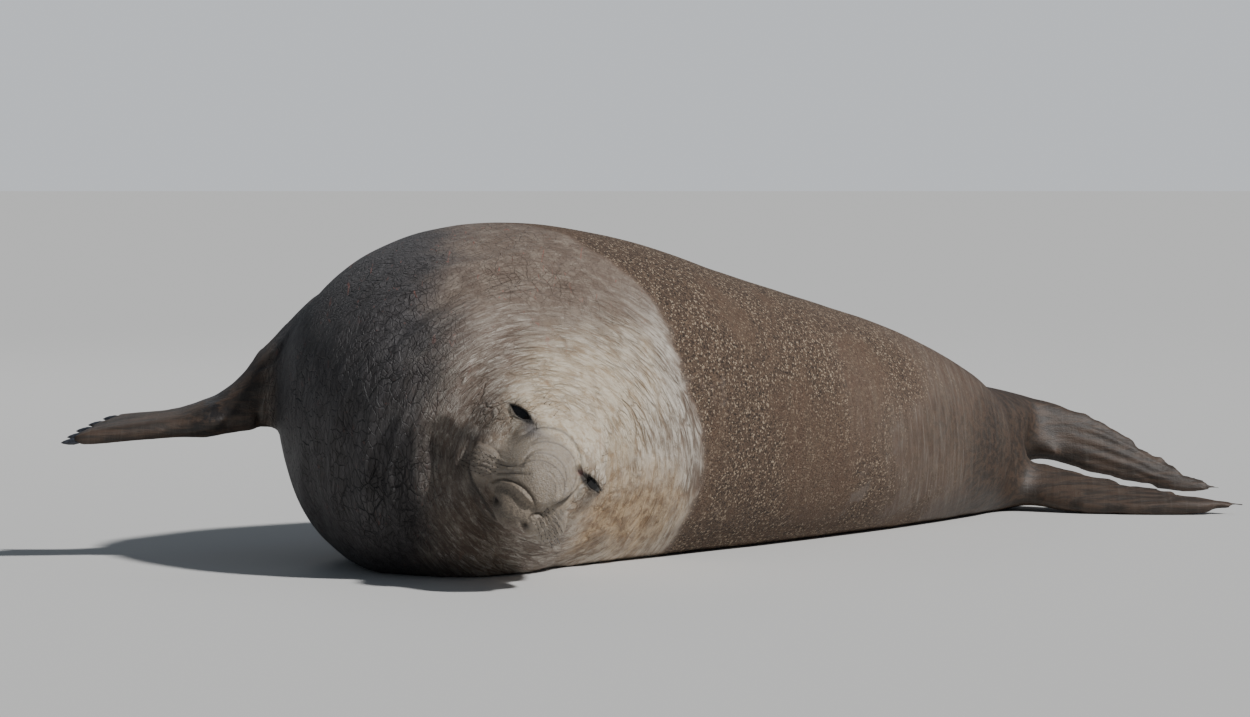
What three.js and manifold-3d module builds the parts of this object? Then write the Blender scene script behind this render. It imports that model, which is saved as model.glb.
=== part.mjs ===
// A bull southern elephant seal at rest, life size, in millimetres with +Z up.
// It lies on its left side. The viewer looks along +Y at its face; the tail is far back on the +X side.
// The flesh is one smooth field, meshed node by node and parted with thin flat cuts.
import * as THREE from "three";
import { mergeVertices } from "three/addons/utils/BufferGeometryUtils.js";
import Module from "manifold-3d";

const wasm = await Module();
wasm.setup();

const V = (x, y, z) => new THREE.Vector3(x, y, z);
const rad = THREE.MathUtils.degToRad;

// Driving sizes
const chestTop = 1010; // height of the back over the shoulders
const chestHalfWidth = 600;
const partGap = 0.3; // clearance between neighbouring pieces
const floorSink = 0.09; // share of the trunk's height that the floor flattens
const trunkSquareness = 2.35; // 2 is an ellipse, more is boxier

// The trunk from the tail root to the throat: place on the floor, height of the back, half width
const trunkStations = [
  { x: 1700, y: 1800, top: 0.35 * chestTop, halfWidth: 0.27 * chestHalfWidth },
  { x: 1600, y: 1680, top: 0.39 * chestTop, halfWidth: 0.38 * chestHalfWidth },
  { x: 1440, y: 1500, top: 0.435 * chestTop, halfWidth: 0.49 * chestHalfWidth },
  { x: 1270, y: 1300, top: 0.545 * chestTop, halfWidth: 0.61 * chestHalfWidth },
  { x: 1050, y: 1060, top: 0.658 * chestTop, halfWidth: 0.73 * chestHalfWidth },
  { x: 800, y: 800, top: 0.748 * chestTop, halfWidth: 0.83 * chestHalfWidth },
  { x: 500, y: 500, top: 0.852 * chestTop, halfWidth: 0.92 * chestHalfWidth },
  { x: 220, y: 220, top: 0.955 * chestTop, halfWidth: 0.98 * chestHalfWidth },
  { x: 0, y: -30, top: chestTop, halfWidth: 0.98 * chestHalfWidth },
  { x: -90, y: -270, top: 0.95 * chestTop, halfWidth: 0.93 * chestHalfWidth },
  { x: -60, y: -450, top: 0.85 * chestTop, halfWidth: 0.8 * chestHalfWidth },
  { x: 60, y: -590, top: 0.68 * chestTop, halfWidth: 0.5 * chestHalfWidth },
];

// The head's own frame: a to the animal's left, b to the crown, c forward out of the face
const headAt = V(182, -870, 394);
const headRoll = rad(46.2);
const headPitch = rad(12);
const headYaw = rad(5);
const eyeRadius = 44;
const eyeSpread = 132; // eye centres from the middle plane
const muzzleCut = 58; // the muzzle starts this far in front of the eye line
const mouthAtCut = -172; // height of the mouth line there
const mouthDroop = rad(10.5);

// Soft blends
const faceBlend = 14;
const neckBlend = 130;
const limbBlend = 90;

// Two square directions turned by an angle, the first towards the second
const turned = (first, second, angle) => [
  first.clone().multiplyScalar(Math.cos(angle)).addScaledVector(second, Math.sin(angle)),
  second.clone().multiplyScalar(Math.cos(angle)).addScaledVector(first, -Math.sin(angle)),
];

function headBasis() {
  const viewer = V(0, -0.9995, 0.033).normalize();
  const up = V(0, 0.033, 0.9995).normalize();
  const right = V(1, 0, 0);
  const side = right.clone().multiplyScalar(Math.cos(headRoll)).addScaledVector(up, -Math.sin(headRoll));
  const crown = right.clone().multiplyScalar(Math.sin(headRoll)).addScaledVector(up, Math.cos(headRoll));
  const [crownPitched, ahead] = turned(crown, viewer, headPitch);
  const [forward, sideYawed] = turned(ahead, side, headYaw);
  return new THREE.Matrix4().makeBasis(sideYawed, crownPitched, forward).setPosition(headAt);
}
const headToBody = headBasis();
const bodyToHead = headToBody.clone().invert();
const onHead = (a, b, c) => V(a, b, c).applyMatrix4(headToBody);
const headDirection = (a, b, c) => V(a, b, c).transformDirection(headToBody);

// Smooth joining of two distances
function smoothUnion(d1, d2, blend) {
  const h = Math.max(blend - Math.abs(d1 - d2), 0) / blend;
  return Math.min(d1, d2) - h * h * blend * 0.25;
}

function ellipsoid(p, centre, radii) {
  const x = (p.x - centre[0]) / radii[0];
  const y = (p.y - centre[1]) / radii[1];
  const z = (p.z - centre[2]) / radii[2];
  const reach = Math.hypot(x, y, z);
  if (reach < 1e-6) return -Math.min(...radii);
  const slope = Math.hypot(x / radii[0], y / radii[1], z / radii[2]);
  return (reach * (reach - 1)) / slope;
}

// A tube through stations: a chain of close, flattened beads, so that a bend never folds it over itself.
// Each station has its centre, half width, half height and, for a limb, the way its width runs.
const beadLength = 0.62; // of the smaller half size

function tube(stations, squareness, beadsPerSpan = 9) {
  const path = new THREE.CatmullRomCurve3(stations.map((s) => s.at), false, "centripetal");
  const sizes = new THREE.CatmullRomCurve3(stations.map((s) => V(s.halfWidth, s.halfHeight, 0)));
  const wides = stations[0].wide && new THREE.CatmullRomCurve3(stations.map((s) => s.wide));
  const count = (stations.length - 1) * beadsPerSpan;
  const beads = [];
  for (let i = 0; i <= count; i++) {
    const along = path.getTangent(i / count);
    const side = wides ? wides.getPoint(i / count) : along.clone().cross(V(0, 0, 1));
    side.addScaledVector(along, -side.dot(along)).normalize();
    const size = sizes.getPoint(i / count);
    const least = Math.min(size.x, size.y);
    side.divideScalar(size.x);
    const up = side.clone().cross(along).normalize().divideScalar(size.y);
    beads.push({ at: path.getPoint(i / count), along: along.divideScalar(least * beadLength), side, up });
  }
  const v = V(0, 0, 0);
  return (p) => {
    let nearest = Infinity;
    for (const bead of beads) {
      v.subVectors(p, bead.at);
      const across = Math.abs(v.dot(bead.side)) ** squareness + Math.abs(v.dot(bead.up)) ** squareness;
      const reach = Math.hypot(across ** (1 / squareness), v.dot(bead.along));
      const d = reach < 1e-3 ? -50 : v.length() * (1 - 1 / reach);
      if (d < nearest) nearest = d;
    }
    return nearest;
  };
}

const trunk = tube(
  trunkStations.map((s) => {
    const halfHeight = (s.top * (1 + floorSink)) / 2;
    return { at: V(s.x, s.y, s.top - halfHeight), halfWidth: s.halfWidth, halfHeight };
  }),
  trunkSquareness,
);

// Head: forms in the head's frame, as [centre, radii, blend]
const faceForms = [
  [[0, -60, -120], [190, 150, 190], 60], // skull
  [[-96, -70, -34], [98, 100, 100], 50], // right cheek
  [[96, -70, -34], [98, 100, 100], 50], // left cheek
  [[0, -112, 70], [136, 96, 130], 50], // root of the muzzle
  [[-98, -138, 124], [80, 74, 88], 20], // right whisker pad
  [[100, -138, 124], [78, 74, 88], 20], // left whisker pad
  [[0, -204, 50], [120, 58, 104], 18], // lower jaw, well behind the tip of the trunk
];
const noseForms = [
  [[2, -8, 92], [128, 80, 128], 30], // dome between the eyes
  [[8, -56, 184], [122, 98, 112], 18], // front of the trunk
  [[30, -144, 244], [86, 70, 70], 12], // tip that hangs over the mouth
];

// Rolls of skin round the throat, as rings about the head's long axis on the chin side
const throatRolls = { first: 330, pitch: 92, depth: 12, from: -520, to: -60 };

function throatFolds(q) {
  const out = Math.hypot(q.x, q.y);
  const chinSide = Math.max(0, (-q.y - 0.35 * Math.abs(q.x + 60)) / (out + 1));
  const near = THREE.MathUtils.smoothstep(out, throatRolls.first - 60, throatRolls.first)
    * (1 - THREE.MathUtils.smoothstep(out, throatRolls.first + 230, throatRolls.first + 330));
  const deep = THREE.MathUtils.smoothstep(q.z, throatRolls.from, throatRolls.from + 160);
  const phase = ((out - throatRolls.first) / throatRolls.pitch) * 2 * Math.PI;
  return throatRolls.depth * chinSide * near * deep * Math.cos(phase);
}

const q = V(0, 0, 0);
function head(p) {
  q.copy(p).applyMatrix4(bodyToHead);
  if (q.length() > 900) return q.length() - 500;
  let d = Infinity;
  for (const [centre, radii, blend] of faceForms) d = smoothUnion(d, ellipsoid(q, centre, radii), blend);
  let nose = Infinity;
  for (const [centre, radii, blend] of noseForms)
    nose = smoothUnion(nose, ellipsoid(q, centre, radii), blend);
  return smoothUnion(d, nose, faceBlend);
}

// Folds of the proboscis: rings about its tip, deepest on the animal's left
const noseFolds = { tip: [28, -142, 240], first: 96, pitch: 38, depth: 5, last: 250 };

function proboscisFolds(q) {
  const [a, b, c] = noseFolds.tip;
  const out = Math.hypot(q.x - a, q.y - b, (q.z - c) * 0.8);
  if (out < noseFolds.first - 20 || out > noseFolds.last || q.y < b + 20) return 0;
  const fade = THREE.MathUtils.smoothstep(out, noseFolds.first - 20, noseFolds.first)
    * (1 - THREE.MathUtils.smoothstep(out, noseFolds.last - 60, noseFolds.last));
  const above = THREE.MathUtils.smoothstep(q.y, b + 20, b + 60);
  const phase = ((out - noseFolds.first) / noseFolds.pitch) * 2 * Math.PI;
  return -noseFolds.depth * fade * above * Math.cos(phase);
}

// The mouth runs from the front of the muzzle back past the muzzle cut, sinking towards the corner
const mouthGroove = { depth: 12, width: 13, corner: 10 };
const mouthHeight = (c) => mouthAtCut - (c - muzzleCut) * Math.tan(mouthDroop);

function lips(q) {
  if (q.z < mouthGroove.corner) return 0;
  const off = (q.y - mouthHeight(q.z)) / mouthGroove.width;
  const open = THREE.MathUtils.smoothstep(q.z, mouthGroove.corner, mouthGroove.corner + 40);
  return mouthGroove.depth * open * Math.exp(-off * off);
}

function trunkAndHead(p) {
  const d = smoothUnion(trunk(p), head(p), neckBlend);
  q.copy(p).applyMatrix4(bodyToHead);
  return q.length() < 900 ? d + throatFolds(q) + proboscisFolds(q) + lips(q) : d;
}

// Limbs: each is a tube whose width runs along "wide"
const limb = (rows) => rows.map(([x, y, z, halfWidth, halfHeight, wx, wy, wz]) => (
  { at: V(x, y, z), halfWidth, halfHeight, wide: V(wx, wy, wz) }));

const rightForeArm = limb([
  [-330, 60, 690, 150, 115, 0, 0.8, 0.6],
  [-520, 0, 655, 142, 105, 0, 0.85, 0.5],
  [-640, -50, 590, 130, 80, 0.1, 0.9, 0.42],
  [-740, -90, 500, 112, 58, 0.15, 0.95, 0.3],
  [-830, -115, 445, 100, 46, 0.1, 0.95, 0.3],
  [-890, -125, 420, 94, 40, 0.1, 0.95, 0.3],
]);
const leftForeArm = limb([
  [60, 200, 190, 150, 110, 0.9, -0.3, 0],
  [-90, 380, 130, 140, 96, 0.9, -0.1, 0],
  [-220, 540, 78, 118, 66, 0.95, 0.1, 0],
  [-290, 670, 46, 106, 46, 0.95, 0.2, 0],
  [-320, 770, 34, 98, 34, 0.95, 0.2, 0],
]);
const rightHindBlade = limb([
  [1560, 1720, 270, 120, 90, 0, 0.3, 1],
  [1690, 1730, 262, 122, 74, 0, 0.3, 1],
  [1850, 1720, 235, 108, 46, 0, 0.35, 1],
  [2030, 1700, 165, 92, 36, 0.1, 0.4, 0.9],
  [2230, 1670, 84, 66, 26, 0.2, 0.5, 0.8],
  [2430, 1640, 30, 26, 14, 0.2, 0.7, 0.6],
]);
const leftHindBlade = limb([
  [1560, 1640, 130, 125, 84, 0, 0.9, 0.5],
  [1680, 1540, 96, 124, 66, 0, 0.85, 0.5],
  [1840, 1450, 66, 108, 44, 0.1, 0.8, 0.5],
  [2030, 1390, 48, 94, 34, 0.1, 0.85, 0.4],
  [2230, 1350, 34, 70, 26, 0.2, 0.9, 0.3],
  [2420, 1330, 22, 28, 16, 0.2, 0.9, 0.2],
]);
const tailRows = limb([
  [1640, 1700, 235, 100, 95, 0, 0.9, 0.3],
  [1730, 1690, 225, 62, 52, 0, 0.9, 0.3],
  [1800, 1660, 196, 38, 26, 0, 0.9, 0.3],
  [1850, 1635, 162, 14, 12, 0, 0.9, 0.3],
]);

// The five fingers of a fore flipper fan out from the wrist; each ends in a claw
const fingerRows = [
  { spread: -74, reach: 388, thick: 27 },
  { spread: -38, reach: 372, thick: 23 },
  { spread: 0, reach: 348, thick: 21 },
  { spread: 36, reach: 314, thick: 19 },
  { spread: 70, reach: 272, thick: 17 },
];
const webShare = 0.9; // the web reaches this share of each finger
const clawSize = { length: 46, thick: 11 };

// Frame of a hand: x out along the fingers, y across towards the little finger, z through it
const handFrame = (wrist, along, across) => {
  const x = along.clone().normalize();
  const y = across.clone().addScaledVector(x, -across.dot(x)).normalize();
  return new THREE.Matrix4().makeBasis(x, y, x.clone().cross(y)).setPosition(wrist);
};
const rightHand = handFrame(V(-880, -125, 422), V(-1, -0.02, -0.08), V(0.05, 0.95, 0.3));
const leftHand = handFrame(V(-318, 765, 34), V(-0.25, 0.97, -0.03), V(-0.97, -0.25, 0));

function taperedRod(p, ax, ay, bx, by, r1, r2, flat) {
  const dx = bx - ax;
  const dy = by - ay;
  const t = Math.min(Math.max(((p.x - ax) * dx + (p.y - ay) * dy) / (dx * dx + dy * dy), 0), 1);
  return Math.hypot(p.x - ax - t * dx, p.y - ay - t * dy, p.z * flat) - (r1 + (r2 - r1) * t);
}

// A hand in its own frame: fingers, the web between them and the wrist
function handField(p) {
  let d = taperedRod(p, -120, 0, 20, 0, 88, 62, 2.1) * 0.6;
  for (const f of fingerRows) {
    const y0 = f.spread * 0.62;
    const rod = taperedRod(p, -10, y0, f.reach, f.spread * 1.12, f.thick + 7, f.thick - 6, 1);
    d = smoothUnion(d, rod, 26);
  }
  for (let i = 0; i < fingerRows.length - 1; i++) {
    const near = fingerRows[i];
    const far = fingerRows[i + 1];
    const reach = Math.min(near.reach, far.reach) * webShare;
    const middle = near.spread + far.spread;
    const web = taperedRod(p, 0, middle * 0.31, reach, middle * 0.55, 32, 18, 2.4);
    d = smoothUnion(d, web * 0.6, 22);
  }
  return d;
}

const local = V(0, 0, 0);
const handOn = (frame) => {
  const inverse = frame.clone().invert();
  return (p) => handField(local.copy(p).applyMatrix4(inverse));
};
const rightHandField = handOn(rightHand);
const leftHandField = handOn(leftHand);
const rightArmTube = tube(rightForeArm, 2.1);
const leftArmTube = tube(leftForeArm, 2.1);
const rightArm = (p) => smoothUnion(rightArmTube(p), rightHandField(p), 40);
const leftArm = (p) => smoothUnion(leftArmTube(p), leftHandField(p), 40);

// Hind flippers trail behind on the floor, with the short tail between them
const hindRight = tube(rightHindBlade, 2.3);
const hindLeft = tube(leftHindBlade, 2.3);
const tail = tube(tailRows, 2);

// The trunk as one field with all that grows from it
const nearBox = (p, low, high, field) => (
  p.x > low[0] && p.y > low[1] && p.z > low[2] && p.x < high[0] && p.y < high[1] && p.z < high[2]
    ? field(p) : Infinity);
function seal(p) {
  let d = trunkAndHead(p);
  const add = (field, low, high, blend) => {
    const other = nearBox(p, low, high, field);
    if (other < Infinity) d = smoothUnion(d, other, blend);
  };
  add(rightArm, [-1500, -500, 0], [0, 400, 1100], limbBlend);
  add(leftArm, [-1000, 0, -100], [300, 1400, 500], limbBlend);
  add(hindRight, [1300, 1300, -100], [2700, 2200, 800], limbBlend * 0.6);
  add(hindLeft, [1300, 1000, -100], [2700, 2200, 600], limbBlend * 0.6);
  add(tail, [1500, 1400, -100], [2100, 2000, 500], 30);
  return d;
}

// Meshing: one point in each cell that the surface crosses, drawn to the mean of its crossings
function netSurface(field, low, high, cell, frame = new THREE.Matrix4()) {
  const count = [0, 1, 2].map((k) => Math.ceil((high[k] - low[k]) / cell[k]) + 1);
  const [nx, ny, nz] = count;
  const at = (i, j, k) => i + nx * (j + ny * k);
  const values = new Float64Array(nx * ny * nz);
  const p = V(0, 0, 0);
  for (let k = 0; k < nz; k++)
    for (let j = 0; j < ny; j++)
      for (let i = 0; i < nx; i++) {
        p.set(low[0] + i * cell[0], low[1] + j * cell[1], low[2] + k * cell[2]).applyMatrix4(frame);
        const rim = i === 0 || j === 0 || k === 0 || i === nx - 1 || j === ny - 1 || k === nz - 1;
        const d = field(p);
        values[at(i, j, k)] = rim ? Math.max(d, 1) : d || 1e-6;
      }
  const points = [];
  const index = new Int32Array(values.length).fill(-1);
  const corners = [0, 1, 2, 3, 4, 5, 6, 7].map((n) => [n & 1, (n >> 1) & 1, n >> 2]);
  for (let k = 0; k < nz - 1; k++)
    for (let j = 0; j < ny - 1; j++)
      for (let i = 0; i < nx - 1; i++) {
        const sum = [0, 0, 0];
        let crossings = 0;
        for (let m = 0; m < 8; m++)
          for (let axis = 0; axis < 3; axis++) {
            const n = m | (1 << axis);
            if (n === m) continue;
            const [c0, c1] = [corners[m], corners[n]];
            const v0 = values[at(i + c0[0], j + c0[1], k + c0[2])];
            const v1 = values[at(i + c1[0], j + c1[1], k + c1[2])];
            if (v0 < 0 === v1 < 0) continue;
            const t = v0 / (v0 - v1);
            for (let a = 0; a < 3; a++) sum[a] += c0[a] + t * (c1[a] - c0[a]);
            crossings++;
          }
        if (!crossings) continue;
        p.set(...[i, j, k].map((n, a) => low[a] + (n + sum[a] / crossings) * cell[a])).applyMatrix4(frame);
        index[at(i, j, k)] = points.length / 3;
        points.push(p.x, p.y, p.z);
      }
  const faces = [];
  const step = [1, nx, nx * ny];
  for (let k = 0; k < nz - 1; k++)
    for (let j = 0; j < ny - 1; j++)
      for (let i = 0; i < nx - 1; i++)
        for (let axis = 0; axis < 3; axis++) {
          if ([i, j, k].some((n, a) => a !== axis && n === 0)) continue;
          const here = at(i, j, k);
          const inside = values[here] < 0;
          if (inside === values[here + step[axis]] < 0) continue;
          const [u, w] = [step[(axis + 1) % 3], step[(axis + 2) % 3]];
          const quad = [index[here - u - w], index[here - w], index[here], index[here - u]];
          if (!inside) quad.reverse();
          faces.push(quad[0], quad[1], quad[2], quad[0], quad[2], quad[3]);
        }
  return solidFrom(new Float32Array(points), new Uint32Array(faces));
}

const solidFrom = (vertProperties, triVerts) => (
  new wasm.Manifold(new wasm.Mesh({ numProp: 3, vertProperties, triVerts })));

function solidOf(geometry, matrix) {
  const places = geometry.getAttribute("position").clone();
  const bare = new THREE.BufferGeometry().setAttribute("position", places);
  if (geometry.index) bare.setIndex(geometry.index.clone());
  bare.applyMatrix4(matrix);
  const merged = mergeVertices(bare, 1e-3);
  return solidFrom(new Float32Array(merged.attributes.position.array), new Uint32Array(merged.index.array));
}
const blockAt = (frame, sx, sy, sz) => solidOf(new THREE.BoxGeometry(sx, sy, sz), frame);

const largest = (solid) => solid.decompose().sort((m, n) => n.volume() - m.volume())[0];

// Cutting planes: a point on each and the way it faces
const planeAt = (point, normal) => ({ normal: normal.normalize(), offset: point.dot(normal) });
const front = (solid, plane) => solid.trimByPlane(plane.normal.toArray(), plane.offset + partGap / 2);
const back = (solid, plane) => (
  solid.trimByPlane(plane.normal.clone().negate().toArray(), -plane.offset + partGap / 2));
const onFloor = (solid) => solid.trimByPlane([0, 0, 1], 0);

const muzzlePlane = planeAt(onHead(0, 0, muzzleCut), headDirection(0, 0, 1));
const mouthPlane = planeAt(
  onHead(0, mouthAtCut, muzzleCut), headDirection(0, Math.cos(mouthDroop), Math.sin(mouthDroop)));
const headPlane = planeAt(V(60, -640, 400), V(0.05, -1, 0));
const neckPlane = planeAt(V(-90, -255, 400), V(-0.2, -1, 0));
const chestPlane = planeAt(V(330, 330, 400), V(-1, -1, 0));
const bellyPlane = planeAt(V(1000, 1010, 300), V(-1, -1, 0));
const hipPlane = planeAt(V(1580, 1660, 200), V(-1, -0.2, 0));
const rightArmPlane = planeAt(V(-722, -80, 520), V(-1, 0, 0));
const rightWristPlane = planeAt(V(-872, -123, 424), V(-1, -0.05, -0.1));
const leftArmPoint = V(-262, 612, 60);
const leftArmPlane = planeAt(leftArmPoint, V(-0.5, 0.86, 0));
const leftWristPlane = planeAt(V(-312, 750, 36), V(-0.25, 0.97, 0));
const rightHindPlane = planeAt(V(1730, 1720, 255), V(1, -0.05, -0.1));
const leftHindPlane = planeAt(V(1720, 1515, 90), V(0.9, -0.4, 0));
const tailPlane = planeAt(V(1735, 1688, 224), V(0.9, -0.2, -0.35));

const cube = (n) => [n, n, n];
const shiftStep = 1.7; // how far a grid moves from one try to the next
const net = (low, high, cell, shift = 0) => (
  netSurface(seal, low.map((n) => n + shiftStep * shift), high, cube(cell)));

const muzzleCell = 25;
const muzzleNet = (shift) => front(netSurface(seal, [-326, -412, 22].map((n) => n + shiftStep * shift),
  [330, 260, 370], cube(muzzleCell), headToBody), muzzlePlane);

function carveEyes(solid) {
  let made = solid;
  for (const side of [-1, 1]) {
    const at = new THREE.Matrix4().multiplyMatrices(headToBody, eyeFrame(side));
    const lidBall = solidOf(new THREE.SphereGeometry(eyeRadius + lids.thick, 18, 12), at);
    const socket = solidOf(new THREE.SphereGeometry(eyeRadius + partGap, 16, 10), at);
    made = made.add(lidBall).subtract(socket).subtract(solidOf(lidSlit(), at));
  }
  return largest(made);
}

// Eyes: z looks out of the eye, x runs along the slit
const lids = { thick: 7, halfLength: 36, halfOpen: 13, outward: rad(42), tilt: rad(-6) };
function eyeFrame(side) {
  const turn = new THREE.Matrix4().makeRotationY(side * lids.outward);
  const tip = new THREE.Matrix4().makeRotationZ(side * lids.tilt);
  return new THREE.Matrix4().makeTranslation(side * eyeSpread, 0, 0).multiply(turn).multiply(tip);
}
function lidSlit() {
  const almond = new THREE.Shape();
  almond.moveTo(-lids.halfLength, 0);
  almond.quadraticCurveTo(0, 2 * lids.halfOpen, lids.halfLength, 0);
  almond.quadraticCurveTo(0, -2 * lids.halfOpen, -lids.halfLength, 0);
  return new THREE.ExtrudeGeometry(almond, { depth: 90, bevelEnabled: false, curveSegments: 8 });
}

// Nostrils open on the front of the proboscis, side by side over the tip
const nostrils = { middle: 30, apart: 56, height: -158, forward: 280, lean: 0.5, radii: [12, 16, 34] };
function carveNostrils(solid) {
  let made = solid;
  for (const side of [-1, 1]) {
    const at = headToBody.clone()
      .multiply(new THREE.Matrix4().makeTranslation(
        nostrils.middle + side * nostrils.apart, nostrils.height, nostrils.forward))
      .multiply(new THREE.Matrix4().makeRotationZ(side * nostrils.lean))
      .multiply(new THREE.Matrix4().makeScale(...nostrils.radii));
    made = made.subtract(solidOf(new THREE.SphereGeometry(1, 14, 10), at));
  }
  return largest(made);
}

// Claws are blunt cones set on the finger tips, with the flesh cut back round them
const clawProfile = [[0, -0.5], [0.8, -0.45], [1, -0.09], [0.8, 0.26], [0.45, 0.55], [0, 0.75]];

function clawsOf(frame) {
  const points = clawProfile.map(([r, y]) => new THREE.Vector2(r * clawSize.thick, y * clawSize.length));
  return fingerRows.map((f) => {
    const at = frame.clone()
      .multiply(new THREE.Matrix4().makeTranslation(f.reach + 8, f.spread * 1.13, 5))
      .multiply(new THREE.Matrix4().makeRotationZ(-Math.PI / 2 + Math.atan2(f.spread * 0.5, f.reach)));
    return solidOf(new THREE.LatheGeometry(points, 8), at);
  });
}

// Takes another solid out with the gap that neighbours keep
function clearOf(solid, other) {
  let made = solid;
  for (const axis of [0, 1, 2])
    for (const side of [-partGap, partGap]) {
      const shift = [0, 0, 0];
      shift[axis] = side;
      made = made.subtract(other.translate(shift));
    }
  return largest(made.subtract(other));
}

const skins = {
  face: { color: 0x9b8a72, roughness: 0.75 },
  nose: { color: 0x8d8174, roughness: 0.7 },
  neck: { color: 0x837a6d, roughness: 0.8 },
  back: { color: 0x7d6650, roughness: 0.9 },
  flipper: { color: 0x4f4740, roughness: 0.7 },
  claw: { color: 0x2b2f36, roughness: 0.4 },
  eye: { color: 0x0b0908, roughness: 0.08 },
};

// Cuts leave a few hair-thin faces; the ends of an edge shorter than this become one point
const shortestEdge = 0.1;
function weldShortEdges({ vertProperties, triVerts }) {
  const points = new Float32Array(vertProperties);
  const joined = Array.from({ length: points.length / 3 }, (_, i) => i);
  const rootOf = (i) => {
    while (joined[i] !== i) i = joined[i];
    return i;
  };
  const gap = (i, j) => Math.hypot(...[0, 1, 2].map((k) => points[3 * i + k] - points[3 * j + k]));
  for (let t = 0; t < triVerts.length; t += 3)
    for (let e = 0; e < 3; e++) {
      const [i, j] = [rootOf(triVerts[t + e]), rootOf(triVerts[t + ((e + 1) % 3)])];
      if (i !== j && gap(i, j) < shortestEdge) joined[Math.max(i, j)] = Math.min(i, j);
    }
  const faces = [];
  for (let t = 0; t < triVerts.length; t += 3) {
    const [i, j, k] = [rootOf(triVerts[t]), rootOf(triVerts[t + 1]), rootOf(triVerts[t + 2])];
    if (i !== j && j !== k && k !== i) faces.push(i, j, k);
  }
  return { points, faces };
}

// A skin that pinches itself has an edge with more than two faces
function pinches({ points, faces }) {
  const key = (i) => [0, 1, 2].map((k) => Math.round(points[3 * i + k] * 5000)).join();
  const uses = new Map();
  for (let t = 0; t < faces.length; t += 3)
    for (let e = 0; e < 3; e++) {
      const edge = [key(faces[t + e]), key(faces[t + ((e + 1) % 3)])].sort().join("|");
      uses.set(edge, (uses.get(edge) ?? 0) + 1);
    }
  return [...uses.values()].some((n) => n !== 2);
}

const model = new THREE.Group();
model.name = "elephant_seal";
const figure = new THREE.Group(); // moved at the end: the origin is on the floor under the model's middle
model.add(figure);
// make(shift) gives the solid from a grid moved by shift. Where a cut pinches the skin, the next is tried.
function addNode(name, make, skin) {
  let mesh;
  for (let shift = 0; shift < 12; shift++) {
    mesh = weldShortEdges((typeof make === "function" ? make(shift) : make).getMesh());
    if (typeof make !== "function" || !pinches(mesh)) break;
  }
  const { points, faces } = mesh;
  const geometry = new THREE.BufferGeometry()
    .setAttribute("position", new THREE.BufferAttribute(points, 3))
    .setIndex(new THREE.BufferAttribute(new Uint32Array(faces), 1));
  geometry.computeVertexNormals();
  const node = new THREE.Mesh(geometry, new THREE.MeshStandardMaterial({ ...skins[skin], metalness: 0 }));
  node.name = name;
  figure.add(node);
}

// Head, muzzle and jaw
addNode("head", (shift) => carveEyes(largest(onFloor(back(front(
  net([-500, -1200, -90], [780, -580, 1000], 44, shift), headPlane), muzzlePlane)))), "face");
addNode("proboscis", (shift) => (
  carveNostrils(largest(onFloor(front(muzzleNet(shift), mouthPlane))))), "nose");
addNode("lower_jaw", (shift) => largest(onFloor(back(muzzleNet(shift), mouthPlane))), "face");
for (const [side, name] of [[-1, "right_eye"], [1, "left_eye"]]) {
  const at = new THREE.Matrix4().multiplyMatrices(headToBody, eyeFrame(side));
  addNode(name, solidOf(new THREE.SphereGeometry(eyeRadius, 16, 10), at), "eye");
}

// Trunk
addNode("neck", (shift) => largest(onFloor(back(back(front(
  net([-800, -760, -120], [760, -120, 1120], 68, shift), neckPlane), headPlane), rightArmPlane))), "neck");
const chestFlesh = back(front(net([-950, -360, -120], [960, 1000, 1140], 78), chestPlane), neckPlane);
// A room beyond a plane that belongs to a limb alone
function roomBeyond(plane, point, across, high, slack = 0) {
  const frame = new THREE.Matrix4().lookAt(V(0, 0, 0), plane.normal.clone().negate(), V(0, 0, 1));
  const drop = plane.offset - point.dot(plane.normal) - partGap / 2;
  const foot = point.clone().addScaledVector(plane.normal, drop);
  frame.setPosition(foot.addScaledVector(plane.normal, 450 + slack));
  return blockAt(frame, across - 2 * slack, high - 2 * slack, 900);
}
const leftArmRoom = (slack) => roomBeyond(leftArmPlane, leftArmPoint, 380, 300, slack);
addNode("chest", largest(onFloor(back(chestFlesh, rightArmPlane).subtract(leftArmRoom(0)))), "neck");
addNode("belly", largest(onFloor(back(front(
  net([-200, -200, -120], [1500, 1500, 1060], 80), bellyPlane), chestPlane))), "back");
addNode("hips", largest(onFloor(back(front(
  net([660, 660, -120], [1900, 1950, 820], 66), hipPlane), bellyPlane))), "back");

// Tail root with the tail and the hind flippers
const rump = back(net([1440, 1380, -80], [2060, 2020, 560], 40), hipPlane)
  .subtract(roomBeyond(rightHindPlane, V(1730, 1860, 300), 420, 560))
  .subtract(roomBeyond(leftHindPlane, V(1720, 1400, 60), 420, 560))
  .subtract(roomBeyond(tailPlane, V(1735, 1680, 224), 300, 400));
addNode("rump", largest(onFloor(rump)), "flipper");
const rightHind = largest(onFloor(front(
  netSurface(hindRight, [1650, 1500, -60], [2520, 1900, 420], [48, 34, 30]), rightHindPlane)));
const leftHind = largest(onFloor(front(
  netSurface(hindLeft, [1604, 1207, -52], [2520, 1700, 260], [48, 34, 30]), leftHindPlane)));
addNode("right_hind_flipper", rightHind, "flipper");
addNode("left_hind_flipper", leftHind, "flipper");
const tailFlesh = front(netSurface(tail, [1640, 1560, 100], [1900, 1800, 340], cube(24)), tailPlane);
addNode("tail", clearOf(clearOf(tailFlesh, rightHind), leftHind), "flipper");

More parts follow.
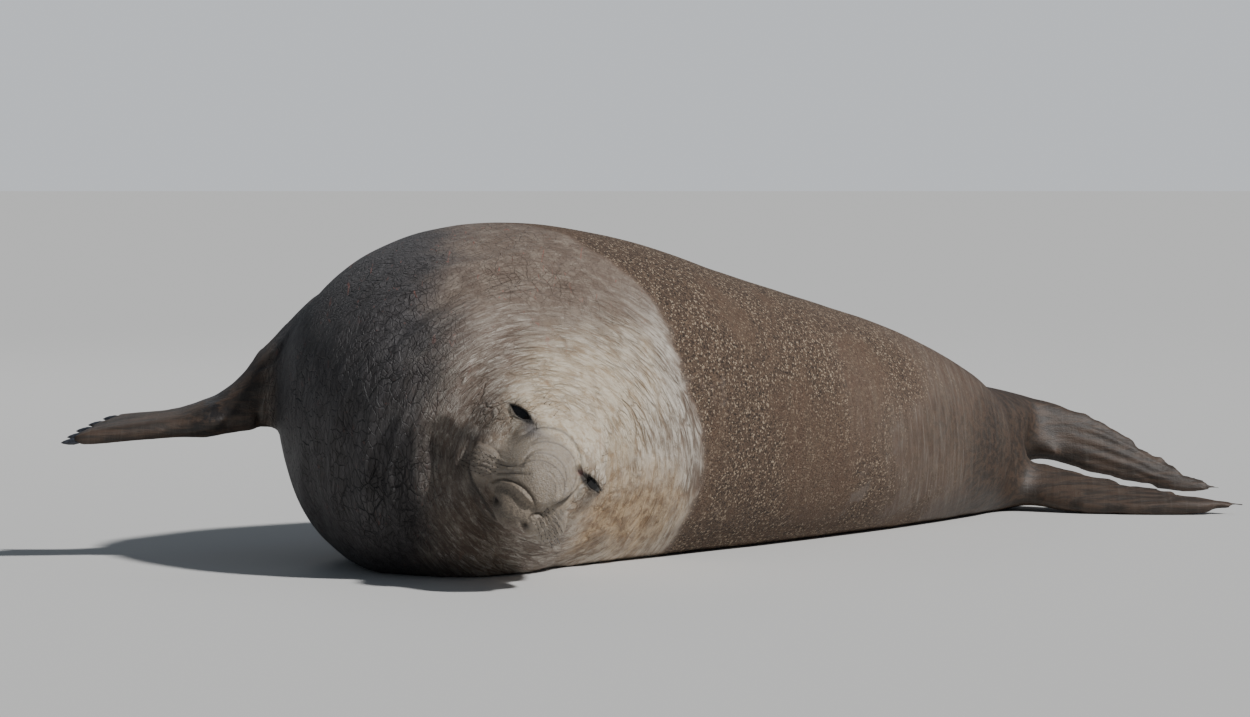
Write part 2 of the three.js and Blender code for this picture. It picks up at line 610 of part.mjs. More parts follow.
// Fore flippers
for (const [side, armPlane, wristPlane, frame, armLow, armHigh] of [
  ["right", rightArmPlane, rightWristPlane, rightHand, [-1020, -360, 240], [-500, 240, 820]],
  ["left", leftArmPlane, leftWristPlane, leftHand, [-560, 400, -60], [-20, 920, 280]],
]) {
  let arm = back(front(net(armLow, armHigh, 36), armPlane), wristPlane);
  if (side === "left") arm = arm.intersect(leftArmRoom(partGap));
  addNode(`${side}_fore_arm`, largest(onFloor(arm)), "flipper");
  const flesh = netSurface(
    side === "right" ? rightArm : leftArm, [-80, -160, -80], [470, 160, 80], [44, 24, 19], frame);
  let hand = largest(onFloor(front(flesh, wristPlane)));
  clawsOf(frame).forEach((claw, i) => {
    const whole = onFloor(claw);
    hand = clearOf(hand, whole);
    addNode(`${side}_claw_${i + 1}`, whole, "claw");
  });
  addNode(`${side}_fore_hand`, hand, "flipper");
}

const reach = new THREE.Box3().setFromObject(figure);
const middle = reach.getCenter(V(0, 0, 0));
figure.position.set(-middle.x, -middle.y, -reach.min.z);

export default model;
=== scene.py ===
import math
import random

import bmesh
import bpy
import numpy as np
from mathutils import Matrix, Vector, noise
from mathutils.bvhtree import BVHTree


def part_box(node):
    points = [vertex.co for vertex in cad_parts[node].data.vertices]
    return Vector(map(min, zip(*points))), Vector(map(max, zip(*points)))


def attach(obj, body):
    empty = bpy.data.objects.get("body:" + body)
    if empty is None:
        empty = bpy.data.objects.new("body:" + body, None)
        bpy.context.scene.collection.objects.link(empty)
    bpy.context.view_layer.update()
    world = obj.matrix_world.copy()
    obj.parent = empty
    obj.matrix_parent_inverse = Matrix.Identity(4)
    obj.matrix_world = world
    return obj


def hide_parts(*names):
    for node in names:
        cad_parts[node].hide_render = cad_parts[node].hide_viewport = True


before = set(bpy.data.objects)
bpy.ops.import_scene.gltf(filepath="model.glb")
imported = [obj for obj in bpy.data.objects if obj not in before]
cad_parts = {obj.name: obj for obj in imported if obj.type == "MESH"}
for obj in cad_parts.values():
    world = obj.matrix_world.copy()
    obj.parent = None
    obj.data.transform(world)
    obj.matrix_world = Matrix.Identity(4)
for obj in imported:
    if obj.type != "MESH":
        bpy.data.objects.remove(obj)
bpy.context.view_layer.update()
random.seed(7)

# Where the photographer stood, measured from the point midway between the eyes, in metres
camera = {"offset": (0.197, -14.066, 1.116), "downTilt": 3.5, "focal": 142.56, "sensor": 36.0}


def middleOf(node):
    low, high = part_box(node)
    return (low + high) / 2


rightEye, leftEye = middleOf("right_eye"), middleOf("left_eye")
brow = (rightEye + leftEye) / 2
eyeRadius = (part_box("right_eye")[1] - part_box("right_eye")[0]).x / 2
cameraPlace = brow + Vector(camera["offset"])

# The face as the camera sees it: a to the animal's left, b to its crown, c towards the camera
faceOut = (cameraPlace - brow).normalized()
faceSide = (leftEye - rightEye)
faceSide = (faceSide - faceSide.dot(faceOut) * faceOut).normalized()
faceUp = faceOut.cross(faceSide)
faceAxes = np.array([faceSide, faceUp, faceOut])


def toFace(points):
    return (points - np.array(brow)) @ faceAxes.T


def smoothstep(low, high, value):
    t = np.clip((value - low) / (high - low), 0.0, 1.0)
    return t * t * (3 - 2 * t)


def bell(value, width):
    return np.exp(-(value / width) ** 2)


def noiseAt(points, scale, seed=0.0):
    shift = Vector((seed, seed * 1.7, seed * 2.3))
    return np.array([noise.noise(Vector(p) * scale + shift) for p in points])


def newObject(name, mesh):
    made = bpy.data.objects.new(name, mesh)
    bpy.context.scene.collection.objects.link(made)
    return made


def activate(piece):
    for other in bpy.context.selected_objects:
        other.select_set(False)
    piece.select_set(True)
    bpy.context.view_layer.objects.active = piece


# The skin
skin = {
    "grain": 0.020,        # size of a face over the trunk
    "faceReach": 0.37,     # faces are halved within this of the muzzle
    "nearReach": 0.25,     # and halved again
    "eyeReach": 0.085,     # and halved again round each eye
    "trunkSmoothing": 46,
    "faceSmoothing": 5,
    "nearSmoothing": 4,
    "muzzleSmoothing": 3,
    "softReach": 0.42,     # the trunk's smoothing stops within this of the muzzle
    "limbSmoothing": 5,
    "muzzleReach": 0.145,  # and once more on the muzzle
    "lidThickness": 0.007,
    "slitHalfLength": 0.044,
    "slitHalfOpening": 0.0135,
    "rootBlend": 0.10,     # length over which a hind flipper melts into the rump
}
fleshNodes = ["head", "proboscis", "lower_jaw", "neck", "chest", "belly", "hips", "rump", "tail",
              "right_fore_arm", "right_fore_hand", "left_fore_arm", "left_fore_hand",
              "right_hind_flipper", "left_hind_flipper"]
limbNodes = fleshNodes[8:]


def joinedFlesh():
    joined = bmesh.new()
    for name in fleshNodes:
        joined.from_mesh(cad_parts[name].data)
    bmesh.ops.remove_doubles(joined, verts=joined.verts, dist=0.00001)
    mesh = bpy.data.meshes.new("skin")
    joined.to_mesh(mesh)
    joined.free()
    return newObject("skin", mesh)


# Thin ends are drawn out while the skin is laid over the flesh, so that its faces come out finer there
stretches = [
    {"from": 0.98, "over": 0.22, "times": 2.2, "about": (1.18, 0.14)},      # hind flippers
    {"from": -1.12, "over": 0.22, "times": 2.2, "about": (-0.50, 0.44)},    # the raised fore flipper
]


def stretched(points, back=False):
    points = points.copy()
    for part in stretches:
        sign = math.copysign(1, part["from"])
        steps = np.linspace(0, 2.0, 401)
        scale = 1 + (part["times"] - 1) * smoothstep(0, part["over"], steps)
        reach = np.concatenate([[0], np.cumsum((scale[1:] + scale[:-1]) / 2 * (steps[1] - steps[0]))])
        past = sign * (points[:, 0] - part["from"])
        chosen = past > 0
        along = np.interp(past[chosen], reach, steps) if back else past[chosen]
        factor = np.interp(along, steps, scale)
        points[chosen, 0] = part["from"] + sign * (along if back else np.interp(along, steps, reach))
        centre = np.array(part["about"])
        offset = points[chosen, 1:] - centre
        points[chosen, 1:] = centre + (offset / factor[:, None] if back else offset * factor[:, None])
    return points


def remesh(piece, size):
    writePoints(piece.data, stretched(readPoints(piece.data)))
    step = piece.modifiers.new("oneSkin", "REMESH")
    step.mode = "VOXEL"
    step.voxel_size = size
    activate(piece)
    bpy.ops.object.modifier_apply(modifier=step.name)
    writePoints(piece.data, stretched(readPoints(piece.data), back=True))


def readPoints(mesh):
    points = np.empty(len(mesh.vertices) * 3)
    mesh.vertices.foreach_get("co", points)
    return points.reshape(-1, 3)


def writePoints(mesh, points):
    mesh.vertices.foreach_set("co", np.ascontiguousarray(points).ravel())
    mesh.update()


def readNormals(mesh):
    normals = np.empty(len(mesh.vertices) * 3)
    mesh.vertices.foreach_get("normal", normals)
    return normals.reshape(-1, 3)


# Smooths without shrinking: each step inwards is followed by one outwards
def smoothed(mesh, points, rounds, weight=1.0, pulls=(0.52, -0.54)):
    edges = np.empty(len(mesh.edges) * 2, int)
    mesh.edges.foreach_get("vertices", edges)
    start, end = edges.reshape(-1, 2).T
    count = len(points)
    degree = np.bincount(start, minlength=count) + np.bincount(end, minlength=count)
    degree = np.maximum(degree, 1)[:, None]
    weight = np.broadcast_to(weight, count)[:, None]
    for i in range(rounds):
        for pull in pulls:
            sums = [np.bincount(start, points[end, k], count) + np.bincount(end, points[start, k], count)
                    for k in range(3)]
            mean = np.stack(sums, 1) / degree
            points = points + pull * weight * (mean - points)
    return points


def nearLimbs(points):
    near = np.zeros(len(points))
    for name in limbNodes:
        low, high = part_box(name)
        outside = np.maximum(np.maximum(np.array(low) - points, points - np.array(high)), 0)
        near = np.maximum(near, 1 - smoothstep(0.0, 0.08, np.linalg.norm(outside, axis=1)))
    return near


def nearFace(points, reach):
    muzzle = np.array((0.0, -0.07, 0.12))
    return 1 - smoothstep(reach * 0.75, reach, np.linalg.norm(toFace(points) - muzzle, axis=1))


def nearMuzzle(points):
    a, b, c = (toFace(points) - np.array((0.012, -0.110, 0.0))).T
    reach = skin["muzzleReach"]
    return (1 - smoothstep(reach * 0.8, reach, np.hypot(a, b))) * smoothstep(0.06, 0.10, c)


def halveFaces(mesh, inside):
    shape = bmesh.new()
    shape.from_mesh(mesh)
    shape.verts.ensure_lookup_table()
    chosen = [e for e in shape.edges if inside[e.verts[0].index] and inside[e.verts[1].index]]
    bmesh.ops.subdivide_edges(shape, edges=chosen, cuts=1, use_grid_fill=True)
    shape.to_mesh(mesh)
    shape.free()


# The hind flippers: a soft root, toes that show as ridges, and tips drawn out to their full length
hindFlippers = {
    # how the blade of each lies in Y and Z
    "nodes": {"right_hind_flipper": (0.3, 1.0), "left_hind_flipper": (0.85, 0.5)},
    "toeEdges": (-0.62, -0.2, 0.22, 0.62),   # across the blade, from -1 to 1
    "toeDepth": 0.007,
    "toeWidth": 0.13,
    "tipLength": 0.42,
    "rootRounds": 150,
    "bladeRounds": 60,
    "lastRounds": 6,
    "margin": 0.03,       # how far outside its box a blade is looked for
    "smoothMargin": 0.02,
    "sections": 13,       # slices along a blade whose width is measured
}


def shapeHindFlippers(points):
    lows = [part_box(name)[0] for name in hindFlippers["nodes"]]
    root = np.max([bell((points[:, 0] - low.x) / skin["rootBlend"], 1.0) for low in lows], 0)
    behind = smoothstep(lows[0].y - 0.4, lows[0].y - 0.2, points[:, 1])
    points = smoothed(mesh, points, hindFlippers["rootRounds"], root * behind, pulls=(0.5,))
    blades = np.zeros(len(points))
    for name in hindFlippers["nodes"]:
        low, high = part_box(name)
        reach = hindFlippers["smoothMargin"]
        blades[np.all((points > np.array(low) - reach) & (points < np.array(high) + reach), 1)] = 1
    points = smoothed(mesh, points, hindFlippers["bladeRounds"], blades)
    for name, (wideY, wideZ) in hindFlippers["nodes"].items():
        low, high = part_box(name)
        margin = hindFlippers["margin"]
        inside = np.all((points > np.array(low) - margin) & (points < np.array(high) + margin), 1)
        x = points[inside, 0]
        bins = np.linspace(low.x, x.max(), hindFlippers["sections"] + 1)
        slot = np.clip(np.digitize(x, bins) - 1, 0, len(bins) - 2)
        across = points[inside, 1] * wideY + points[inside, 2] * wideZ
        ends = np.array([(across[slot == k].min(), across[slot == k].max()) for k in range(len(bins) - 1)])
        mids = (bins[:-1] + bins[1:]) / 2
        least, most = np.interp(x, mids, ends[:, 0]), np.interp(x, mids, ends[:, 1])
        share = (across - (least + most) / 2) / np.maximum((most - least) / 2, 0.01)
        width = hindFlippers["toeWidth"]
        toes = np.sum([bell(share - edge, width) for edge in hindFlippers["toeEdges"]], 0)
        depth = hindFlippers["toeDepth"] * toes * smoothstep(low.x + 0.08, low.x + 0.3, x)
        writePoints(mesh, points)
        points[inside] -= readNormals(mesh)[inside] * depth[:, None]
        lost = high.x - x.max() - 0.002
        points[inside, 0] += lost * smoothstep(high.x - hindFlippers["tipLength"], high.x - lost, x)
    return smoothed(mesh, points, hindFlippers["lastRounds"], blades)


print("skin: joining the flesh")
sealSkin = joinedFlesh()
remesh(sealSkin, skin["grain"])
mesh = sealSkin.data
points = readPoints(mesh)
limbs, face = nearLimbs(points), nearFace(points, skin["softReach"])
trunk = (1 - limbs) * (1 - face)
points = smoothed(mesh, points, skin["limbSmoothing"], 0.35 + 0.65 * (1 - limbs))
points = smoothed(mesh, points, skin["trunkSmoothing"], trunk)
points = shapeHindFlippers(points)
writePoints(mesh, points)

print("skin: finer faces on the head")
halveFaces(mesh, nearFace(points, skin["faceReach"]) > 0.3)
points = readPoints(mesh)
points = smoothed(mesh, points, skin["faceSmoothing"], nearFace(points, skin["softReach"]))
writePoints(mesh, points)
halveFaces(mesh, nearFace(points, skin["nearReach"]) > 0.3)
points = readPoints(mesh)
points = smoothed(mesh, points, skin["nearSmoothing"], nearFace(points, skin["softReach"]))
writePoints(mesh, points)
halveFaces(mesh, nearMuzzle(points) > 0.3)
points = readPoints(mesh)
points = smoothed(mesh, points, skin["muzzleSmoothing"], nearFace(points, skin["softReach"]))
writePoints(mesh, points)
eyeDistance = np.minimum(np.linalg.norm(points - np.array(rightEye), axis=1),
                         np.linalg.norm(points - np.array(leftEye), axis=1))
halveFaces(mesh, eyeDistance < skin["eyeReach"])
print("skin faces:", len(mesh.polygons))

# Folds of the nose as arcs in the camera's view of the face: centre, radius, depth and width in
# millimetres, and the stretch of the arc in degrees from the animal's left towards its crown
creases = [
    {"centre": (12, -62), "radius": 109, "depth": 15, "width": 8, "arc": (-42, 172)},
    {"centre": (28, -64), "radius": 83, "depth": 4.5, "width": 3.6, "arc": (-22, 176)},
    {"centre": (29, -84), "radius": 66, "depth": 4, "width": 3.2, "arc": (14, 190)},
    {"centre": (39, -119), "radius": 78, "depth": 5, "width": 3.4, "arc": (10, 178)},
    {"centre": (40, -128), "radius": 58, "depth": 3, "width": 3.0, "arc": (20, 120)},
    {"centre": (25, -232), "radius": 93, "depth": 9, "width": 4.2, "arc": (44, 168)},
    {"centre": (105, -182), "radius": 23, "depth": 6, "width": 3.6, "arc": (20, 230)},
    {"centre": (-122, -178), "radius": 56, "depth": 5, "width": 6, "arc": (50, 150)},
]
noseLines = [
    [(-64, -165), (-34, -132), (-2, -102)],
    [(-86, -150), (-52, -122), (-28, -96)],
    [(88, -166), (105, -151), (106, -134)],
]
features = {
    "boss": {"centre": (12, -62), "radius": 103, "edge": 13, "height": 20,
             "towards": 35, "fade": (-115, -5)},
    "noseTip": {"at": (27, -190), "radius": 58, "height": 15},
    "nostrils": {"at": ((-17, -222), (92, -214)), "size": (17, 9), "depth": 15},
    "whiskerPads": {"at": ((-118, -180), (140, -172)), "radius": 52, "height": 15},
    "whiskerRows": {"pitch": 15, "lean": 0.5, "depth": 2.0},
    "lips": {"line": [(-180, -180), (-142, -211), (-106, -234), (-66, -243), (-32, -254), (10, -264)],
             "depth": 15, "width": 8},
    "chin": {"below": (-262, -330), "depth": 26},
    "lidFolds": {"offsets": (0.019, 0.031), "depth": 2.6, "width": 0.0035},
    "neckWrinkle": 0.0075,
    "throatWrinkle": 0.026,
    "skinWave": 0.0045,
}


def distanceToLine(a, b, line):
    least = np.full(len(a), 1e9)
    for (a0, b0), (a1, b1) in zip(line, line[1:]):
        da, db = a1 - a0, b1 - b0
        t = np.clip(((a - a0) * da + (b - b0) * db) / (da * da + db * db), 0, 1)
        least = np.minimum(least, np.hypot(a - a0 - t * da, b - b0 - t * db))
    return least


def arcMask(a, b, arc, ease=22):
    turn = np.degrees(np.arctan2(b - arc["centre"][1], a - arc["centre"][0]))
    low, high = arc["arc"]
    turn = np.where(turn < low - 60, turn + 360, turn)
    return smoothstep(low, low + ease, turn) * (1 - smoothstep(high - ease, high, turn))


# A fold is a sharp valley with a rounded lip on its inner side
def creaseDepth(a, b, crease):
    off = np.hypot(a - crease["centre"][0], b - crease["centre"][1]) - crease["radius"]
    groove = np.exp(-np.abs(off) / crease["width"])
    lip = 0.55 * bell(off + 2.4 * crease["width"], 1.8 * crease["width"])
    return arcMask(a, b, crease) * crease["depth"] * (lip - groove)


def warpedFace(points):
    a, b, c = (toFace(points) * 1000).T
    a = a + 5 * noiseAt(points, 12.0, 6.0) + 1.5 * noiseAt(points, 45.0, 3.0)
    b = b + 5 * noiseAt(points, 12.0, 8.0) + 1.5 * noiseAt(points, 45.0, 5.0)
    return a, b, c


def sculptFace(points, normals):
    a, b, c = warpedFace(points)
    towards = normals @ faceAxes[2]
    front = smoothstep(0.0, 0.3, towards) * smoothstep(20, 70, c) * nearFace(points, 0.36)
    boss = features["boss"]
    fromA, fromB = a - boss["centre"][0], b - boss["centre"][1]
    off = np.hypot(fromA, fromB) - boss["radius"]
    heading = math.radians(boss["towards"])
    fade = smoothstep(*boss["fade"], fromA * math.cos(heading) + fromB * math.sin(heading))
    rise = boss["height"] * (1 - smoothstep(-boss["edge"], boss["edge"], off)) * fade
    for line in noseLines:
        rise -= 4.0 * np.exp(-distanceToLine(a, b, line) / 3.4)
    for crease in creases:
        rise += creaseDepth(a, b, crease)
    tip = features["noseTip"]
    rise += tip["height"] * bell(np.hypot(a - tip["at"][0], b - tip["at"][1]), tip["radius"])
    pads, rows = features["whiskerPads"], features["whiskerRows"]
    for side, at in zip((-1, 1), pads["at"]):
        on = bell(np.hypot(a - at[0], b - at[1]), pads["radius"])
        ripple = np.cos((b - at[1] + rows["lean"] * side * (a - at[0])) * 2 * math.pi / rows["pitch"])
        rise += on * (pads["height"] + rows["depth"] * ripple)
    for at in features["nostrils"]["at"]:
        size = features["nostrils"]["size"]
        off = np.hypot((a - at[0]) / size[0], (b - at[1]) / size[1])
        rise -= features["nostrils"]["depth"] * bell(off, 1.0)
    chin = features["chin"]
    rise -= chin["depth"] * (1 - smoothstep(chin["below"][1], chin["below"][0], b))
    lips = features["lips"]
    rise -= lips["depth"] * bell(distanceToLine(a, b, lips["line"]), lips["width"])
    points = points + normals * (front * rise / 1000)[:, None]

    # rings of skin round the face, coarse under the throat
    out = np.hypot(a, b + 60)
    turn = np.arctan2(b + 60, a)
    near = nearFace(points, 1.1)
    ring = np.stack([out / 46, 1.8 * np.cos(turn), 1.8 * np.sin(turn)], 1)
    coarse = np.stack([out / 80, 1.1 * np.cos(turn), 1.1 * np.sin(turn)], 1)
    outside = smoothstep(170, 250, out) * near * smoothstep(-0.1, 0.4, towards)
    throat = smoothstep(0.1, 0.8, np.cos(turn - math.radians(218))) * (1 - smoothstep(520, 700, out))
    roll = 1 - 2 * np.abs(noiseAt(coarse, 1.0, 4.0))
    wrinkles = features["neckWrinkle"] * (0.4 - 2 * np.abs(noiseAt(ring, 1.0)))
    rolls = features["throatWrinkle"] * throat * (roll - 0.6)
    return points + normals * (outside * (wrinkles + rolls))[:, None]


# Place of each point from an eye: along its slit, across it, and how far open the slit is there
def fromSlit(points, eye, side):
    a, b, c = ((points - np.array(eye)) @ faceAxes.T).T
    a = a * side - 0.006
    b = b + (0.09 * a if side < 0 else 0.0)
    along = np.clip(np.abs(a) / skin["slitHalfLength"], 0, 1)
    return a, b, c, along, skin["slitHalfOpening"] * (1 - along ** 2)


def sculptLids(points, eye, side):
    away = points - np.array(eye)
    reach = np.linalg.norm(away, axis=1)
    a, b, c, along, half = fromSlit(points, eye, side)
    gap = (1 - smoothstep(-0.0012, 0.0012, np.abs(b) - half)) * (np.abs(a) < skin["slitHalfLength"])
    near = (1 - smoothstep(0.048, 0.066, np.hypot(a, b))) * (c > -0.01)
    rim = bell(np.maximum(np.abs(b) - half, 0), 0.011) * (1 - 0.6 * along)
    lid = eyeRadius + skin["lidThickness"]
    shell = np.maximum(reach, lid) * (1 - rim) + lid * rim
    target = shell * (1 - gap) + (eyeRadius - 0.007) * gap
    folds = features["lidFolds"]
    over = np.hypot(a / 1.5, b)
    arc = np.sum([np.exp(-np.abs(over - offset) / folds["width"]) for offset in folds["offsets"]], 0)
    changed = reach + near * (target - reach) - folds["depth"] / 1000 * arc * (c > 0) * (gap < 0.5)
    return np.array(eye) + away * (changed / np.maximum(reach, 1e-6))[:, None]


print("skin: folds, lids and lips")
points = readPoints(mesh)
points = sculptFace(points, readNormals(mesh))
points = sculptLids(points, rightEye, -1)
points = sculptLids(points, leftEye, 1)
writePoints(mesh, points)
normals = readNormals(mesh)
wave = noiseAt(points, 2.2) * 0.7 + noiseAt(points, 6.0, 3.0) * 0.3
waveStep = features["skinWave"] * wave * (1 - nearFace(points, 0.4)) * (1 - nearLimbs(points))
points = points + normals * waveStep[:, None]
points[:, 2] = np.maximum(points[:, 2], 0.0)
writePoints(mesh, points)
for polygon in mesh.polygons:
    polygon.use_smooth = True
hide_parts(*fleshNodes)
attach(sealSkin, "root")


# The markings
# Sand clings to all that lies behind a slanting line round the shoulders
markings = {
    "sandFrom": (-0.242, 0.820, 0.628),   # a point of that line, from the brow
    "sandAxis": (0.415, 0.724, 0.214),
    "cream": {"at": (0.10, 0.10), "reach": (0.10, 0.34)},       # across and up from the brow, metres
    "ochre": {"at": (0.20, -0.24), "reach": (0.04, 0.26)},
    "bareTail": (0.38, 1.08),             # the sand thins out here towards the hind flippers
    # the pale streaked zone on the sunlit side of the neck is partly painted light
    "light": (-0.06, 0.34),               # paler towards this side of the neck
    # the shield's zone lies on the side away from the key light, and its dark colour is partly painted
    # shade
    "shieldAndShade": (-0.20, -0.46),             # cracked hide of the chest, towards the other side
    "eyePatch": {"at": (-0.046, -0.012), "stretch": 1.3, "radius": 0.026},
}


def setAttribute(mesh, name, kind, values):
    layer = mesh.attributes.new(name, kind, "POINT")
    field = "color" if kind == "FLOAT_COLOR" else "vector"
    layer.data.foreach_set(field, np.ascontiguousarray(values).ravel())


def patchAt(across, up, patch, ragged):
    out = np.hypot(across - patch["at"][0], up - patch["at"][1])
    return 1 - smoothstep(*patch["reach"], out + ragged)


def paintZones(mesh, points, normals):
    a, b, c = warpedFace(points)
    across, depth, up = (points - np.array(brow)).T
    axis = np.array(markings["sandAxis"])
    behind = (points - np.array(brow) - np.array(markings["sandFrom"])) @ (axis / np.linalg.norm(axis))
    broken = 0.030 * noiseAt(points, 5.0, 9.0) + 0.012 * noiseAt(points, 28.0, 2.0)
    sand = smoothstep(-0.030, 0.040, behind + broken)
    tailEnd = smoothstep(*markings["bareTail"], points[:, 0] + 0.30 * noiseAt(points, 4.0, 12.0))
    flipper = np.maximum(nearLimbs(points), tailEnd)
    sand = sand * (1 - 0.92 * flipper)
    ragged = 0.06 * noiseAt(points, 6.0, 5.0) + 0.03 * noiseAt(points, 17.0, 1.0)
    cream = patchAt(across, up, markings["cream"], ragged) * smoothstep(-0.1, 0.1, nearFace(points, 0.8))
    shieldAndShade = smoothstep(*markings["shieldAndShade"], across + ragged) * (1 - sand) * (1 - nearLimbs(points))
    setAttribute(mesh, "zones", "FLOAT_COLOR", np.stack([sand, cream, flipper, shieldAndShade], 1))

    ochre = patchAt(across, up, markings["ochre"], ragged)
    # partly painted light: paler hide towards the sunlit side of the neck
    light = smoothstep(*markings["light"], across - 0.35 * up + ragged)
    light = light * (1 - smoothstep(0.05, 0.25, behind))
    scarred = smoothstep(0.22, 0.5, up + ragged)
    wet = bell((points[:, 0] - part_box("right_fore_hand")[1].x) / 0.07, 1.0) * (points[:, 2] > 0.2)
    setAttribute(mesh, "hideTonesAndLight", "FLOAT_COLOR", np.stack([ochre, light, scarred, wet], 1))

    inFront = smoothstep(0.0, 0.3, normals @ faceAxes[2]) * smoothstep(0, 40, c)
    tipAt = features["noseTip"]["at"]
    nose = (1 - smoothstep(112, 140, np.hypot(a - 6, b + 100))) * inFront
    for at in features["whiskerPads"]["at"]:
        nose = np.maximum(nose, (1 - smoothstep(50, 80, np.hypot(a - at[0], b - at[1]))) * inFront)
    tip = (1 - smoothstep(50, 84, np.hypot(a - tipAt[0], b - tipAt[1]))) * inFront
    # painted shade: darker along the lip line, over the chin below it, in the nostrils, nose lines and fold
    # valleys, and in the grooves between the whisker rows
    lipLineShade = bell(distanceToLine(a, b, features["lips"]["line"]), 9)
    dark = np.maximum(lipLineShade, 0.75 * (1 - smoothstep(-300, -262, b))) * inFront
    for at in features["nostrils"]["at"]:
        dark = np.maximum(dark, bell(np.hypot((a - at[0]) / 1.5, b - at[1]), 8) * inFront)
    for line in noseLines:
        dark = np.maximum(dark, 0.75 * np.exp(-distanceToLine(a, b, line) / 2.4) * inFront)
    for crease in creases:
        valley = np.clip(-creaseDepth(a, b, crease) / crease["depth"], 0, 1)
        dark = np.maximum(dark, 0.85 * valley ** 1.7 * inFront)
    rows = features["whiskerRows"]
    for side, at in zip((-1, 1), features["whiskerPads"]["at"]):
        on = bell(np.hypot(a - at[0], b - at[1]), 46)
        place = b - at[1] + rows["lean"] * side * (a - at[0])
        line = 0.5 - 0.5 * np.cos(place * 2 * math.pi / rows["pitch"])
        dark = np.maximum(dark, 0.3 * on * line ** 3 * inFront)
    # painted shade under the muzzle, on the throat
    shadeUnderMuzzle = smoothstep(0.2, 0.9, np.cos(np.arctan2(b + 60, a) - math.radians(228)))
    shadeUnderMuzzle = shadeUnderMuzzle * bell(np.hypot(a, b + 60) - 215, 75)
    dark = np.maximum(dark, 0.8 * shadeUnderMuzzle * (0.75 + 0.5 * noiseAt(points, 22.0, 7.0)))
    rim = np.zeros(len(points))
    pink = np.zeros(len(points))
    for eye, side in ((rightEye, -1), (leftEye, 1)):
        ea, eb, ec, along, half = fromSlit(points, eye, side)
        off = np.hypot(np.maximum(np.abs(ea) - skin["slitHalfLength"], 0), np.maximum(np.abs(eb) - half, 0))
        rim = np.maximum(rim, np.exp(-off / 0.0055) * (ec > -0.01))
        corner = bell(np.hypot(ea + skin["slitHalfLength"] - 0.004, eb), 0.008)
        pink = np.maximum(pink, corner * (side > 0) * (ec > -0.01))
    spot = markings["eyePatch"]
    ea, eb, ec, along, half = fromSlit(points, rightEye, -1)
    spotOff = np.hypot((ea - spot["at"][0]) / spot["stretch"], eb - spot["at"][1])
    patch = bell(spotOff, spot["radius"]) * (ec > -0.02)
    setAttribute(mesh, "faceMarksAndShade", "FLOAT_COLOR", np.stack([nose, tip, dark, rim], 1))
    none = np.zeros(len(points))
    setAttribute(mesh, "eyeMarks", "FLOAT_COLOR", np.stack([pink, patch, none, none + 1], 1))

    q = toFace(points)
    turn = np.arctan2(q[:, 1] + 0.06, q[:, 0])
    out = np.hypot(q[:, 0], q[:, 1] + 0.06)
    setAttribute(mesh, "flow", "FLOAT_VECTOR", np.stack([out, 0.42 * np.cos(turn), 0.42 * np.sin(turn)], 1))


print("skin: markings")
paintZones(mesh, points, readNormals(mesh))


# The materials
def srgb(red, green, blue):
    return tuple(((v / 255 + 0.055) / 1.055) ** 2.4 for v in (red, green, blue)) + (1,)


def addNode(tree, kind, settings=None, **inputs):
    made = tree.nodes.new("ShaderNode" + kind)
    for key, value in (settings or {}).items():
        setattr(made, key, value)
    for key, value in inputs.items():
        socket = made.inputs[int(key[1:])] if key[0] == "i" and key[1:].isdigit() else made.inputs[key]
        if isinstance(value, bpy.types.NodeSocket):
            tree.links.new(value, socket)
        else:
            socket.default_value = value
    return made


def maths(tree, operation, first, second=0.5):
    return addNode(tree, "Math", {"operation": operation}, i0=first, i1=second).outputs[0]


def mixColour(tree, share, first, second, blend="MIX"):
    mix = addNode(tree, "Mix", {"data_type": "RGBA", "blend_type": blend}, i0=share, i6=first, i7=second)
    return mix.outputs[2]


# How far value has gone from low to high, from 0 to 1
def between(tree, value, low, high):
    settings = {"interpolation_type": "SMOOTHSTEP"}
    return addNode(tree, "MapRange", settings, i0=value, i1=low, i2=high).outputs[0]


def noiseOf(tree, place, scale, detail=4.0, rough=0.55, stretch=(1, 1, 1), twist=0.0):
    mapped = addNode(tree, "Mapping", i0=place, i3=stretch).outputs[0]
    return addNode(tree, "TexNoise", Vector=mapped, Scale=scale, Detail=detail, Roughness=rough,
                   Distortion=twist).outputs[0]


